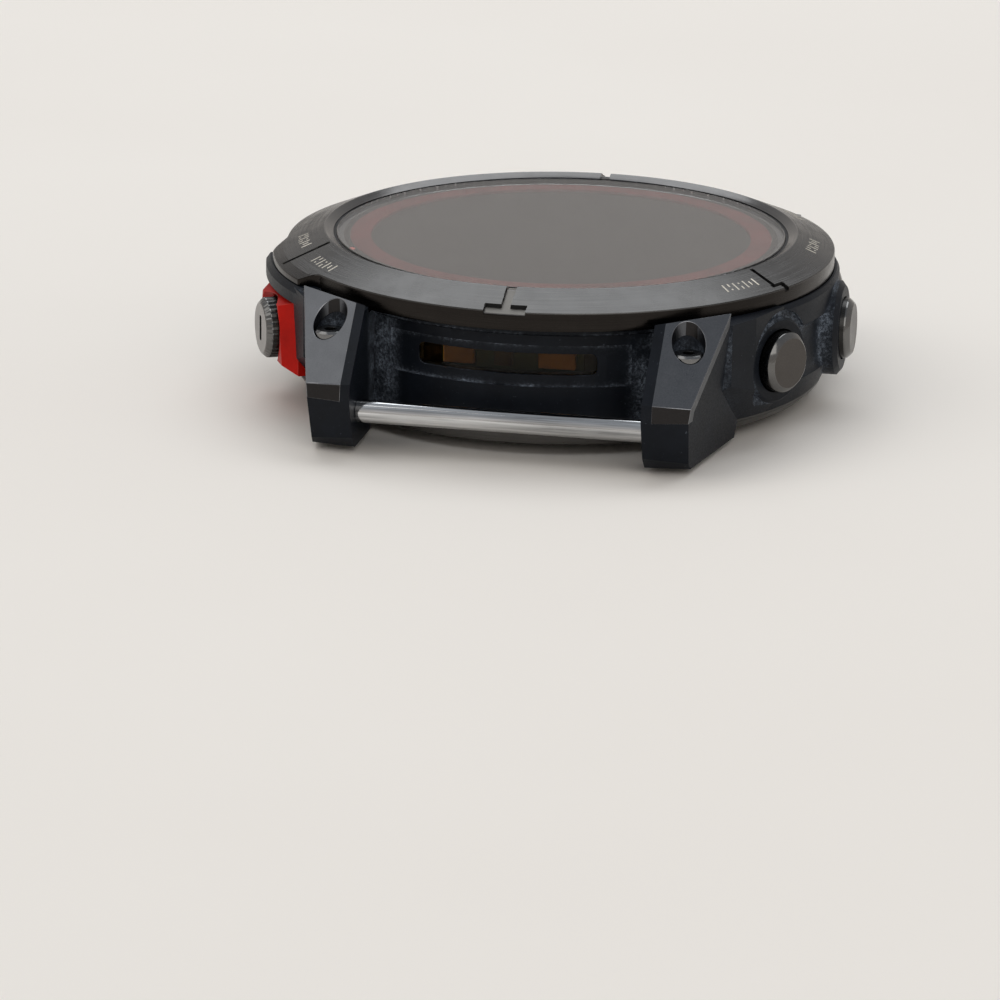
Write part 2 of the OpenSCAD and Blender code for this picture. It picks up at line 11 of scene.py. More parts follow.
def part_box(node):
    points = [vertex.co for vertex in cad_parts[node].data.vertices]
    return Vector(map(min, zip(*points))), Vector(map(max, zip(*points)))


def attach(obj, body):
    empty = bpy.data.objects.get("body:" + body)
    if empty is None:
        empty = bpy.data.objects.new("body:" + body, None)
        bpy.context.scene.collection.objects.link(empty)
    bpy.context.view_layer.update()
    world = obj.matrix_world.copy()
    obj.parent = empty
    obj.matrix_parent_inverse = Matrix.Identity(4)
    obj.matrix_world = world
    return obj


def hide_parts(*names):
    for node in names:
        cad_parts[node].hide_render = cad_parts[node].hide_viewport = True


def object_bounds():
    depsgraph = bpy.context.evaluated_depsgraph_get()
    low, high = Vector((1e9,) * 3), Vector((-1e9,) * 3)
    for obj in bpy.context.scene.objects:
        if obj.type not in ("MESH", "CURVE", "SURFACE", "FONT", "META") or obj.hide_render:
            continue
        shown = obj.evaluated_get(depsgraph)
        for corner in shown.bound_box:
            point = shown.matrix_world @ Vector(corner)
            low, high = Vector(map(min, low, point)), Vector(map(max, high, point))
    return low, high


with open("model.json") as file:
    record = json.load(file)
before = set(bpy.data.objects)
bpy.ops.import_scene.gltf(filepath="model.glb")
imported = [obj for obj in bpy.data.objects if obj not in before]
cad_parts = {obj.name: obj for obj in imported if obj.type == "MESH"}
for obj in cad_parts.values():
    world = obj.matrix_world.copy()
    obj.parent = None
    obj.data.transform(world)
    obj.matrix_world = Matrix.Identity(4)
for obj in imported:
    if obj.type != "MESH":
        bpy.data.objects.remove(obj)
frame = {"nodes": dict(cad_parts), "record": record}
CAD_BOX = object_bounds()

MM = 0.001
WATCH = "watch"
RIM_Z = CAD_BOX[1].z / MM                    # height of the bezel's inner rim
GLASS_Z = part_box("crystal")[1].z / MM        # height of the crystal's face
GLASS_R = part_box("crystal")[1].x / MM        # radius of the crystal
SKIRT_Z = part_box("bezel")[0].z / MM          # lowest edge of the bezel
BEZEL_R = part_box("bezel")[1].y / MM          # radius of the bezel's outer edge

# Bezel, in millimetres
RIM_R = 21.65
EDGE_DROP = 1.4                              # from the rim down to the cone's outer edge
CONE_SLOPE = EDGE_DROP / (BEZEL_R - RIM_R)
FLANGE_R = 19.7                              # inner edge of the flange that carries the crystal
FLANGE_DROP = 1.33                           # from the crystal's face down to the flange
SEAT_R = 21.0
LIP_R = 20.84
SKIRT_R = 22.2                               # inner radius of the skirt

# Ear over the start button, in millimetres and degrees
EAR_R = 26.6
EAR_UNDER = 12.3
EAR_FROM = 9.0
EAR_CREST = 39.2
EAR_TO = 42.5

# Grooves in the cone, in millimetres and degrees
SLIT_DEPTH = 0.32
SLIT_HALF = 0.21
SLIT_IN = 21.85
START_A = 28.0
START_SLIT_OUT = 26.0
LIGHT_SLIT_A = 152.4
LIGHT_SLIT_OUT = 24.45
JOG_A = LIGHT_SLIT_A + 1.2                   # sideways step of the light button's groove
JOG_HALF = 0.9
JOG_IN = 24.32
JOG_OUT = 24.62
TAIL_A = LIGHT_SLIT_A + 2.4                  # last stretch of that groove, to the edge
TAIL_HALF = 0.32
TAIL_IN = 24.55
NOTCHES = (90.0, 270.0)                      # T-shaped notches at 12 and 6 o'clock
STEM_HALF = 0.42
STEM_IN = 20.9
FOOT_HALF = 1.87
FOOT_R = 24.15
BEYOND = 30.0                                # a radius outside the whole watch

# Buttons, pins, lugs and glass, in millimetres and degrees
BUTTON_ANGLES = {"start": START_A, "light": 151.0, "up": 180.0, "down": 209.0, "back": 332.0}
STEM_END = 20.2                              # where every button's stem begins, from the centre
STEM_R = 1.1
STEM_GROOVE = (20.5, 20.9, 0.75)             # from, to and radius of the clip's groove
CROWN = 25.6                                 # roof of a cap's hollow, from the centre
CAP_SKIRT = 24.7                             # lower edge of a cap, from the centre
CAP_WALL = 0.3
CAP_BEVEL = 0.42
SLOT_SIZE = (2.3, 0.7)
SLOT_DEPTH = 0.42
SPRING_CLEAR = 0.48                          # a button's travel and a hair more
STRAP_HALF = 13.0                            # half of the clear width between two lugs
PIN_END_R = 0.78
# lug cap tips take a darker steel that paints their shade
TIP_FACING = 0.93                            # a lug cap's face is its tip when it faces this much along Y
GLASS_T = 1.17                               # a hair off what lies under it, so both surfaces reflect
PRINT_R = (19.32, 19.88)
# pale bluish dust; its blue tint and its pale tone in shaded corners also paint cool light
DUST_AND_COOL_LIGHT_COLOR = (0.36, 0.42, 0.51)


# ---- mesh helpers ----

def new_piece(name, bm, materials, body=WATCH, replaces=(), smooth=35.0):
    """Turns a bmesh in millimetres into a piece that rides on a body."""
    mesh = bpy.data.meshes.new(name)
    bmesh.ops.recalc_face_normals(bm, faces=bm.faces)
    bm.to_mesh(mesh)
    bm.free()
    mesh.transform(Matrix.Scale(MM, 4))
    for material in materials:
        mesh.materials.append(material)
    piece = bpy.data.objects.new(name, mesh)
    bpy.context.scene.collection.objects.link(piece)
    mesh.shade_smooth()
    mesh.set_sharp_from_angle(angle=math.radians(smooth))
    even_normals(piece)
    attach(piece, body)
    if replaces:
        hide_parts(*replaces)
    return piece


def even_normals(piece):
    """Keeps flat faces flat under smooth shading: large faces rule the normals."""
    weighted = piece.modifiers.new("even_normals", "WEIGHTED_NORMAL")
    weighted.keep_sharp = True


def cad_bmesh(node):
    """A CAD node's mesh in millimetres, welded, with the triangles of each flat face joined."""
    bm = bmesh.new()
    bm.from_mesh(frame["nodes"][node].data)
    bmesh.ops.scale(bm, vec=(1 / MM,) * 3, verts=bm.verts)
    bmesh.ops.remove_doubles(bm, verts=bm.verts, dist=0.002)
    bmesh.ops.dissolve_limit(bm, angle_limit=math.radians(0.8), verts=bm.verts, edges=bm.edges)
    return bm


def bevelled(piece, width, segments=2, angle=32.0, edge_slot=-1):
    """Rounds a piece's edges for real, width in millimetres; edge_slot is the bevel's material."""
    for old in [modifier for modifier in piece.modifiers if modifier.type == "WEIGHTED_NORMAL"]:
        piece.modifiers.remove(old)
    bevel = piece.modifiers.new("edges", "BEVEL")
    bevel.width = width * MM
    bevel.segments = segments
    bevel.limit_method = "ANGLE"
    bevel.angle_limit = math.radians(angle)
    bevel.material = edge_slot
    even_normals(piece)


def ring_grid(bm, columns):
    """Joins columns of points, each a closed section, into a ring of quads."""
    rows = len(columns[0])
    grid = [[bm.verts.new(point) for point in column] for column in columns]
    for i, column in enumerate(grid):
        after = grid[(i + 1) % len(grid)]
        for j in range(rows):
            k = (j + 1) % rows
            bm.faces.new((column[j], column[k], after[k], after[j]))


def block(low, high):
    """A box from its low corner to its high corner."""
    bm = bmesh.new()
    corners = [bm.verts.new(point) for point in itertools.product(*zip(low, high))]
    for quad in ((0, 1, 3, 2), (4, 6, 7, 5), (0, 4, 5, 1), (2, 3, 7, 6), (0, 2, 6, 4), (1, 5, 7, 3)):
        bm.faces.new([corners[i] for i in quad])
    return bm


def turned(profile, segments=128, slots=None):
    """A solid of revolution about Z: (radius, height) points from axis to axis, or a closed section."""
    bm = bmesh.new()
    columns = []
    for i in range(segments):
        a = 2 * math.pi * i / segments
        columns.append([bm.verts.new((r * math.cos(a), r * math.sin(a), z)) for r, z in profile if r])
    tips = {j: bm.verts.new((0, 0, z)) for j, (r, z) in enumerate(profile) if r == 0}
    solid = [j for j, (r, z) in enumerate(profile) if r > 0]
    place = {j: n for n, j in enumerate(solid)}
    for i in range(segments):
        here, after = columns[i], columns[(i + 1) % segments]
        for j in range(len(profile) - 1 + (0 not in tips)):
            k = (j + 1) % len(profile)
            corners = []
            for row, column in ((j, here), (k, here), (k, after), (j, after)):
                vert = tips[row] if row in tips else column[place[row]]
                if vert not in corners:
                    corners.append(vert)
            face = bm.faces.new(corners)
            face.material_index = slots[j] if slots else 0
    return bm


def rounded(profile, radius, steps=3):
    """The profile with every corner but its two end points rounded off."""
    out = []
    for i, point in enumerate(profile):
        if i in (0, len(profile) - 1):
            out.append(point)
            continue
        here = Vector(point)
        before, after = Vector(profile[i - 1]) - here, Vector(profile[i + 1]) - here
        reach = min(radius, before.length * 0.45, after.length * 0.45)
        start, end = here + before.normalized() * reach, here + after.normalized() * reach
        for step in range(steps + 1):
            t = step / steps
            out.append(tuple(start * (1 - t) ** 2 + here * 2 * t * (1 - t) + end * t * t))
    return out


def outwards(angle):
    """Unit vector from the centre at an angle in degrees round the case."""
    return Vector((math.cos(math.radians(angle)), math.sin(math.radians(angle)), 0))


def facing_out(angle_deg, height):
    """Matrix that turns +Z to point outwards at an angle round the case, at a height."""
    return (Matrix.Rotation(math.radians(angle_deg), 4, "Z") @ Matrix.Translation((0, 0, height))
            @ Matrix.Rotation(math.pi / 2, 4, "Y"))


# ---- material helpers ----

class Graph:
    """A small material builder: each call adds a node and returns its output socket."""

    def __init__(self, name):
        self.material = bpy.data.materials.new(name)
        self.material.use_nodes = True
        self.nodes = self.material.node_tree.nodes
        self.links = self.material.node_tree.links
        self.shader = self.nodes["Principled BSDF"]
        self.coords = self.nodes.new("ShaderNodeTexCoord").outputs["Object"]

    def feed(self, socket, value):
        """Links an output to a socket, or sets the socket to a plain value."""
        if isinstance(value, bpy.types.NodeSocket):
            self.links.new(value, socket)
        elif value is not None:
            if isinstance(value, (tuple, list)) and len(value) == 3 and len(socket.default_value) == 4:
                value = (*value, 1.0)
            socket.default_value = value

    def set(self, **values):
        """Feeds the shader's own sockets, named in lower case with underscores."""
        for key, value in values.items():
            self.feed(self.shader.inputs[key.replace("_", " ").title().replace("Ior", "IOR")], value)

    def node(self, kind, **inputs):
        node = self.nodes.new(kind)
        for key, value in inputs.items():
            self.feed(node.inputs[key], value)
        return node.outputs[0]

    def math(self, operation, a, b=0.0, clamp=False):
        node = self.nodes.new("ShaderNodeMath")
        node.operation = operation
        node.use_clamp = clamp
        self.feed(node.inputs[0], a)
        self.feed(node.inputs[1], b)
        return node.outputs[0]

    def scaled(self, vector, factors):
        node = self.nodes.new("ShaderNodeVectorMath")
        node.operation = "MULTIPLY"
        self.feed(node.inputs[0], vector)
        node.inputs[1].default_value = factors
        return node.outputs[0]

    def noise(self, vector, scale, detail=3.0, rough=0.55):
        return self.node("ShaderNodeTexNoise", Vector=vector, Scale=scale, Detail=detail, Roughness=rough)

    def ramp(self, value, low, high, to_low=0.0, to_high=1.0):
        node = self.nodes.new("ShaderNodeMapRange")
        for key, number in (("From Min", low), ("From Max", high), ("To Min", to_low), ("To Max", to_high)):
            node.inputs[key].default_value = number
        self.feed(node.inputs["Value"], value)
        return node.outputs[0]

    def mix(self, factor, a, b):
        node = self.nodes.new("ShaderNodeMix")
        node.data_type = "RGBA"
        self.feed(node.inputs["Factor"], factor)
        self.feed(node.inputs[6], a)
        self.feed(node.inputs[7], b)
        return node.outputs[2]

    def bump(self, height, strength, distance_mm):
        node = self.nodes.new("ShaderNodeBump")
        node.inputs["Strength"].default_value = strength
        node.inputs["Distance"].default_value = distance_mm * MM
        self.feed(node.inputs["Height"], height)
        self.feed(self.shader.inputs["Normal"], node.outputs[0])

    def turned_tangent(self):
        """Lays the highlight's stretch round Z, as on a turned face."""
        tangent = self.nodes.new("ShaderNodeTangent")
        tangent.direction_type = "RADIAL"
        tangent.axis = "Z"
        self.links.new(tangent.outputs[0], self.shader.inputs["Tangent"])

    def hollows(self, reach_mm):
        """1 in the piece's own corners and crevices, 0 on its open faces."""
        node = self.nodes.new("ShaderNodeAmbientOcclusion")
        node.samples = 6
        node.only_local = True
        node.inputs["Distance"].default_value = reach_mm * MM
        return self.math("SUBTRACT", 1.0, node.outputs["AO"])

    def round_coords(self, across, along):
        """Coordinates for turned grain: fine across the radius and height, slow round the circle."""
        split = self.nodes.new("ShaderNodeSeparateXYZ")
        self.links.new(self.coords, split.inputs[0])
        x, y, z = split.outputs
        squares = self.math("ADD", self.math("MULTIPLY", x, x), self.math("MULTIPLY", y, y))
        radius = self.math("SQRT", squares)
        turn = self.math("ARCTAN2", y, x)
        across_sum = self.math("ADD", radius, self.math("MULTIPLY", z, 0.6))
        join = self.nodes.new("ShaderNodeCombineXYZ")
        self.links.new(self.math("MULTIPLY", across_sum, across / MM), join.inputs[0])
        self.links.new(self.math("MULTIPLY", self.math("COSINE", turn), along), join.inputs[1])
        self.links.new(self.math("MULTIPLY", self.math("SINE", turn), along), join.inputs[2])
        return join.outputs[0]


def tint(color, factor):
    return tuple(min(1.0, c * factor) for c in color)


def steel(name, color, rough, grain="round", anisotropic=0.0, dust=0.0, bump=0.25):
    """Coated or bare steel, its grain turned round Z, streaked along X, or fine all over; the streaks along X
    also paint bands of reflection.
    """
    g = Graph(name)
    if grain == "round":
        lines = g.noise(g.round_coords(12.0, 2.5), 1.0, 3.0, 0.6)
    elif grain == "straight_painted_streaks":
        lines = g.noise(g.scaled(g.coords, (60.0, 2400.0, 2400.0)), 1.0, 4.0, 0.6)
    else:
        lines = g.noise(g.coords, 9000.0, 4.0, 0.7)
    cloud = g.noise(g.coords, 420.0, 3.0, 0.6)
    # along X the tone swings from 0.35 to 1.25 of the colour: grain and painted reflection streaks
    dark, light = (0.35, 1.25) if grain == "straight_painted_streaks" else (0.86, 1.14)
    shade = g.mix(g.ramp(lines, 0.3, 0.7), tint(color, dark), tint(color, light))
    shade = g.mix(g.ramp(cloud, 0.35, 0.75, 0.0, 0.35), shade, tint(color, 0.8))
    specks = g.ramp(g.noise(g.coords, 1500.0, 4.0, 0.75), 0.74, 0.78)
    lying = g.math("MULTIPLY", specks, dust, clamp=True)
    shade = g.mix(lying, shade, (0.55, 0.53, 0.50))
    brushed = g.ramp(lines, 0.25, 0.75, rough - 0.07, rough + 0.07)
    roughness = g.math("ADD", brushed, g.ramp(cloud, 0.3, 0.7, -0.03, 0.05))
    g.set(base_color=shade, metallic=1.0, roughness=roughness)
    if anisotropic:
        g.set(anisotropic=anisotropic)
        g.turned_tangent()
    g.bump(lines, bump, 0.01)
    return g.material


def dust_and_painted_light(g, dust):
    """Amount of dust: thick in corners, in patches, and a few loose grains anywhere; in the shaded corners
    its pale blue also paints cool light.
    """
    corner = g.ramp(g.hollows(3.0), 0.14, 0.42)
    specks = g.ramp(g.noise(g.coords, 3600.0, 5.0, 0.8), 0.44, 0.68, 0.10, 1.0)
    patches = g.ramp(g.noise(g.coords, 300.0, 4.0, 0.65), 0.38, 0.60, 0.10, 1.0)
    lying = g.math("MULTIPLY", g.math("MULTIPLY", corner, specks), patches)
    loose = g.math("MULTIPLY", g.ramp(g.noise(g.coords, 2600.0, 4.0, 0.8), 0.66, 0.72), 0.2)
    return g.math("MULTIPLY", g.math("ADD", lying, loose), dust, clamp=True)


def plastic(name, color, rough, dust=0.0, bump=0.3, specular=0.5):
    """Moulded polymer with a spark-eroded grain, and pale dust in its corners, whose blue tint also paints
    cool light into their shade.
    """
    g = Graph(name)
    grain = g.noise(g.coords, 6000.0, 3.0, 0.6)
    cloud = g.noise(g.coords, 260.0, 4.0, 0.6)
    shade = g.mix(g.ramp(cloud, 0.3, 0.7), tint(color, 0.75), tint(color, 1.3))
    roughness = g.ramp(grain, 0.3, 0.7, rough - 0.06, rough + 0.1)
    if dust:
        amount = dust_and_painted_light(g, dust)
        shade = g.mix(amount, shade, DUST_AND_COOL_LIGHT_COLOR)
        roughness = g.math("ADD", roughness, g.math("MULTIPLY", amount, 0.3), clamp=True)
    g.set(base_color=shade, roughness=roughness, specular_ior_level=specular)
    g.bump(grain, bump, 0.012)
    return g.material


def clear(name, color, rough=0.02, ior=1.5):
    """Glass or a tinted lens, with faint smears."""
    g = Graph(name)
    smear = g.noise(g.scaled(g.coords, (180.0, 260.0, 180.0)), 1.0, 4.0, 0.6)
    roughness = g.ramp(smear, 0.35, 0.8, rough, rough + 0.05)
    g.set(base_color=color, transmission_weight=1.0, ior=ior, roughness=roughness)
    return g.material


# ---- bezel ----

def ease(t):
    """Smooth step from 0 to 1."""
    t = max(0.0, min(1.0, t))
    return t * t * (3 - 2 * t)


def edge_radius(a):
    """Outer radius of the bezel at an angle in degrees: round, with the ear over the start button."""
    if a < EAR_FROM or a > EAR_TO:
        return BEZEL_R
    if a <= EAR_CREST:
        share = 0.87 * ease((a - EAR_FROM) / 8.5) + 0.13 * ease((a - 15.0) / 18.0)
    else:
        share = max(0.0, 1 - (a - EAR_CREST) / (EAR_TO - EAR_CREST)) ** 2.3
    return BEZEL_R + (EAR_R - BEZEL_R) * share


def groove_depth(radius, a):
    """Depth of the machined grooves at a radius and an angle in degrees."""
    def within(centre, half, inner, outer):
        return inner <= radius <= outer and abs(math.radians(a - centre)) * radius <= half
    cut = (within(START_A, SLIT_HALF, SLIT_IN, START_SLIT_OUT)
           or within(LIGHT_SLIT_A, SLIT_HALF, SLIT_IN, LIGHT_SLIT_OUT)
           or within(TAIL_A, TAIL_HALF, TAIL_IN, BEYOND)
           or within(JOG_A, JOG_HALF, JOG_IN, JOG_OUT))
    for notch in NOTCHES:
        cut = cut or within(notch, STEM_HALF, STEM_IN, BEYOND) or within(notch, FOOT_HALF, FOOT_R, BEYOND)
    return SLIT_DEPTH if cut else 0.0


def bezel_angles():
    """Column angles: even steps, with pairs of columns at the walls of each groove."""
    angles = {round(i * 0.5, 4) for i in range(720)}
    walls = [(START_A, SLIT_HALF, 24.0), (LIGHT_SLIT_A, SLIT_HALF, 23.2), (TAIL_A, TAIL_HALF, 24.9),
             (JOG_A, JOG_HALF, 24.5)]
    walls += [(notch, half, r) for notch in NOTCHES for half, r in ((STEM_HALF, 23.0), (FOOT_HALF, 24.6))]
    for centre, half, r in walls:
        for side in (-1, 1):
            for step in (-0.06, -0.01, 0.01, 0.06):
                angles.add(round(centre + side * math.degrees((half + step) / r), 4))
    return sorted(angles)


def seat_points(a):
    """Flange, seat, lip and rim of the bezel's section, from the inside up to the rim."""
    points = [(FLANGE_R, GLASS_Z - FLANGE_DROP), (SEAT_R, GLASS_Z - FLANGE_DROP), (SEAT_R, GLASS_Z - 0.10),
              (LIP_R, GLASS_Z - 0.09), (LIP_R, GLASS_Z - 0.03), (LIP_R + 0.04, GLASS_Z)]
    points += [(RIM_R - 0.10, RIM_Z - 0.04), (RIM_R - 0.03, RIM_Z - 0.005), (RIM_R + 0.03, RIM_Z - 0.012)]
    notched = abs(a % 180 - 90) < 5
    return [(r, z - (groove_depth(r, a) if notched and r > SEAT_R + 0.2 else 0.0)) for r, z in points]


def cone_points(a, outer):
    """The cone's sloping face with its grooves, from the rim to the outer edge."""
    rows = [21.72, 21.83, 21.87, 22.3, 22.9, 23.5, 24.0, FOOT_R - 0.02, FOOT_R + 0.02, 24.3, 24.34, 24.43,
            24.47, 24.53, 24.57, 24.61, 24.65]
    rows += [rows[-1] + u * (outer - 0.05 - rows[-1]) for u in (0.25, 0.5, 0.69, 0.72, 0.85, 1.0)]
    return [(r, RIM_Z - CONE_SLOPE * (r - RIM_R) - groove_depth(r, a)) for r in rows]


def skirt_points(outer):
    """Underside of the ear, the skirt and its lower edge, back to the inside."""
    ear = (outer - BEZEL_R) / (EAR_R - BEZEL_R)
    low = EAR_UNDER + 0.12
    inner_z = SKIRT_Z + 0.7
    return [(outer, low), (outer - 0.12 * ear, low - 0.02 - 0.10 * ear),
            (BEZEL_R, low - 0.04 - 0.10 * ear), (BEZEL_R, SKIRT_Z + 0.14),
            (BEZEL_R - 0.04, SKIRT_Z + 0.04), (BEZEL_R - 0.14, SKIRT_Z),
            (SKIRT_R, SKIRT_Z), (SKIRT_R, inner_z), (FLANGE_R, inner_z)]


def bezel_column(a):
    """Closed section of the bezel at one angle."""
    outer = edge_radius(a)
    sunk = groove_depth(outer, a)
    edge_z = RIM_Z - CONE_SLOPE * (outer - RIM_R) - sunk
    edge = [(outer - 0.01, edge_z - 0.04), (outer, edge_z - 0.10)]
    turn = math.radians(a)
    section = seat_points(a) + cone_points(a, outer) + edge + skirt_points(outer)
    return [(r * math.cos(turn), r * math.sin(turn), z) for r, z in section]


def bezel_slot(centre):
    """Which of the bezel's materials a face gets, by where its centre is."""
    radius = math.hypot(centre.x, centre.y)
    angle = angle_of(centre)
    surface = RIM_Z - CONE_SLOPE * (radius - RIM_R)
    notched = abs(angle % 180 - 90) < 6
    if radius < RIM_R + 0.08:
        return 1
    # slot 2, near-black, paints the shade in the grooves' walls and slits; slot 3 is the notches' bare steel
    # floor
    if surface - 0.1 > centre.z > surface - 1.3 * SLIT_DEPTH and radius < edge_radius(angle) - 0.2:
        return 3 if notched and centre.z < surface - 0.9 * SLIT_DEPTH else 2
    # faces below the cone's edge take the dark skirt steel, which paints the shade under the edge
    return 4 if centre.z < RIM_Z - EDGE_DROP - 0.15 else 0


def make_bezel(mats):
    bm = bmesh.new()
    ring_grid(bm, [bezel_column(a) for a in bezel_angles()])
    for face in bm.faces:
        face.material_index = bezel_slot(face.calc_center_median())
    materials = [mats[key] for key in ("bezel", "rim", "groove", "notch", "skirt")]
    new_piece("bezel_ring", bm, materials, replaces=("bezel",), smooth=28)


def angle_of(point):
    """Angle of a point round the case, 0 to 360 degrees."""
    return math.degrees(math.atan2(point.y, point.x)) % 360


def stroke(bm, radius, angle, length, width, lift=0.012):
    """One short painted bar that follows the cone's slope and stands a hair above it."""
    flat = outwards(angle)
    out = (flat - Vector((0, 0, CONE_SLOPE))).normalized()
    side = Vector((-flat.y, flat.x, 0))
    up = out.cross(side).normalized()
    base = flat * radius + Vector((0, 0, RIM_Z - CONE_SLOPE * (radius - RIM_R)))
    corners = []
    for high in (-0.05, lift):
        for sx, sy in ((-1, -1), (1, -1), (1, 1), (-1, 1)):
            corners.append(bm.verts.new(base + out * sx * length / 2 + side * sy * width / 2 + up * high))
    for quad in ((0, 3, 2, 1), (4, 5, 6, 7), (0, 1, 5, 4), (1, 2, 6, 5), (2, 3, 7, 6), (3, 0, 4, 7)):
        bm.faces.new([corners[i] for i in quad])


def make_marks(mats):
    """Plain bars and dots beside each button's groove; they stand for no letters."""
    bm = bmesh.new()
    groups = ((38.4, 23.9), (18.6, 23.6), (144.4, 23.4), (184.0, 23.2), (214.0, 23.4), (326.0, 23.4))
    pattern = ((1.0, 0.0), (0.42, -0.29), (1.0, 0.0), (0.42, 0.29), (1.0, 0.0), (0.55, 0.0), (1.0, 0.0))
    for centre, radius in groups:
        for i, (share, shift) in enumerate(pattern):
            angle = centre + (i - (len(pattern) - 1) / 2) * math.degrees(0.62 / radius)
            stroke(bm, radius + shift, angle, 1.02 * share, 0.155)
            if share < 0.5:
                stroke(bm, radius - shift, angle, 0.18, 0.18)
    new_piece("bezel_marks", bm, (mats["paint"],))


# ---- glass ----

def make_glass(mats):
    bottom = GLASS_Z - GLASS_T
    profile = rounded([(0, bottom), (GLASS_R, bottom), (GLASS_R, GLASS_Z), (0, GLASS_Z)], 0.16)
    new_piece("crystal_disc", turned(profile, 192), (mats["crystal"],),
              replaces=("crystal",))
    make_print(mats["mask"])
    new_piece("display_dot", index_dot(28.6, 19.95), (mats["red_dot"],))


def make_print(material):
    """The dark ring printed under the glass, between the solar film and the gasket."""
    inner, outer = PRINT_R
    low = GLASS_Z - 1.26
    high = GLASS_Z - 1.22
    section = [(inner, low), (outer, low), (outer, high), (inner, high)]
    new_piece("glass_print", turned(section, 128), (material,))


def index_dot(angle, radius):
    """A small raised index spot under the glass, at an angle in degrees and a radius."""
    bm = turned(rounded([(0, 0), (0.42, 0), (0.42, 0.03), (0, 0.03)], 0.01), 24)
    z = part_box("solar_ring")[1].z / MM - 0.03
    bmesh.ops.translate(bm, verts=bm.verts, vec=outwards(angle) * radius + Vector((0, 0, z)))
    return bm


# ---- case, lugs and pins ----

def make_case(material):
    case = new_piece("case_shell", cad_bmesh("case_body"), (material,),
                     replaces=("case_body",), smooth=30)
    bevelled(case, 0.16, 2, 30)


def make_lug_caps(mats):
    """The four steel plates: tips in a darker steel that paints their shade, brighter worn edges."""
    for corner in ("12_right", "12_left", "6_right", "6_left"):
        node = f"lug_cap_{corner}"
        bm = cad_bmesh(node)
        for face in bm.faces:
            # faces that look along Y take the darker tip steel: painted shade
            face.material_index = 2 if abs(face.normal.y) > TIP_FACING else 0
        cap = new_piece(f"lug_plate_{corner}", bm, (mats["lug"], mats["lug_edge"], mats["lug_tip_painted_shade"]),
                        replaces=(node,), smooth=30)
        bevelled(cap, 0.13, 2, 25, 1)


def make_pins(material):
    """The strap pins: a thick bar between the lugs, with thinner ends inside them."""
    for end in ("12", "6"):
        node = f"strap_pin_{end}"
        low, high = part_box(node)
        radius = (high.z - low.z) / 2 / MM
        reach = high.x / MM
        profile = [(0, -reach), (PIN_END_R, -reach), (PIN_END_R, -STRAP_HALF), (radius, -STRAP_HALF),
                   (radius, STRAP_HALF), (PIN_END_R, STRAP_HALF), (PIN_END_R, reach), (0, reach)]
        bm = turned(rounded(profile, 0.08, 2), 72)
        place = Matrix.Translation((low + high) / 2 / MM) @ Matrix.Rotation(math.pi / 2, 4, "Y")
        bmesh.ops.transform(bm, verts=bm.verts, matrix=place)
        new_piece(f"strap_bar_{end}", bm, (material,), replaces=(node,))


def make_lamps(mats):
    """The flashlight's lamps, two phosphor ones and a dark one between, and the strip beside their board."""
    bm = cad_bmesh("flashlight_leds")
    for face in bm.faces:
        face.material_index = 1 if -0.5 < face.calc_center_median().x < 2.0 else 0
    lamps = new_piece("lamp_chips", bm, (mats["phosphor"], mats["dark_lamp"]),
                      replaces=("flashlight_leds",))
    bevelled(lamps, 0.10)
    low, high = (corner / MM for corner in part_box("flashlight_board"))
    window_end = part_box("flashlight_lens")[1].x / MM
    strip = block((high.x, low.y, low.z), (window_end, high.y, high.z))
    new_piece("lamp_backing", strip, (mats["dark_lamp"],))


# ---- buttons and guard ----

def face_distance(node, angle):
    """How far a node reaches from the centre along an angle, in millimetres."""
    way = outwards(angle)
    return max(v.co.dot(way) for v in frame["nodes"][node].data.vertices) / MM


def button_profile(face, half):
    """Half section of a cap, with its stem and hollow crown, from the stem's end to its face."""
    groove_in, groove_out, groove_r = STEM_GROOVE
    stem = [(0, STEM_END), (STEM_R - 0.08, STEM_END), (STEM_R, STEM_END + 0.1), (STEM_R, groove_in),
            (groove_r, groove_in), (groove_r, groove_out), (STEM_R, groove_out), (STEM_R, CROWN)]
    shell = [(half - CAP_WALL, CROWN), (half - CAP_WALL, CAP_SKIRT), (half, CAP_SKIRT)]
    top = [(half, face - CAP_BEVEL - 0.12), (half - 0.04, face - CAP_BEVEL),
           (half - CAP_BEVEL + 0.03, face - 0.05), (half - CAP_BEVEL - 0.08, face), (half * 0.5, face),
           (0, face)]
    return stem + shell + top


def make_buttons(mats):
    low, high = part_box("button_light")
    half = (high.z - low.z) / 2 / MM
    low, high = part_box("button_up")
    height = (low.z + high.z) / 2 / MM
    for name, angle in BUTTON_ANGLES.items():
        node = f"button_{name}"
        face = face_distance(node, angle)
        profile = button_profile(face, half)
        bm = turned(profile, 144, [0] * (len(profile) - 6) + [1, 1, 1, 2, 2])
        if name == "start":
            knurl(bm, face)
        bmesh.ops.transform(bm, verts=bm.verts, matrix=facing_out(angle, height))
        # the start button's face takes a lighter copy of the button steel, which paints the light it catches
        face_mat = mats["start_face"] if name == "start" else mats["button_face"]
        cap = new_piece(f"{name}_cap", bm, (mats["button_side"], mats["button_edge"], face_mat, mats["slot"]),
                        body=f"button_{name}_body", replaces=(node,), smooth=24)
        if name == "start":
            cut_slot(cap, angle, height, face)


def knurl(bm, face):
    """Flutes round the start button's side, fading out under its face."""
    teeth = 36
    for vert in bm.verts:
        radius = math.hypot(vert.co.x, vert.co.y)
        if radius > 2.6 and 24.9 < vert.co.z < face - 0.40:
            turn = math.atan2(vert.co.y, vert.co.x)
            depth = 0.10 * (1 - math.cos(turn * teeth)) / 2
            vert.co.x *= 1 - depth / radius
            vert.co.y *= 1 - depth / radius


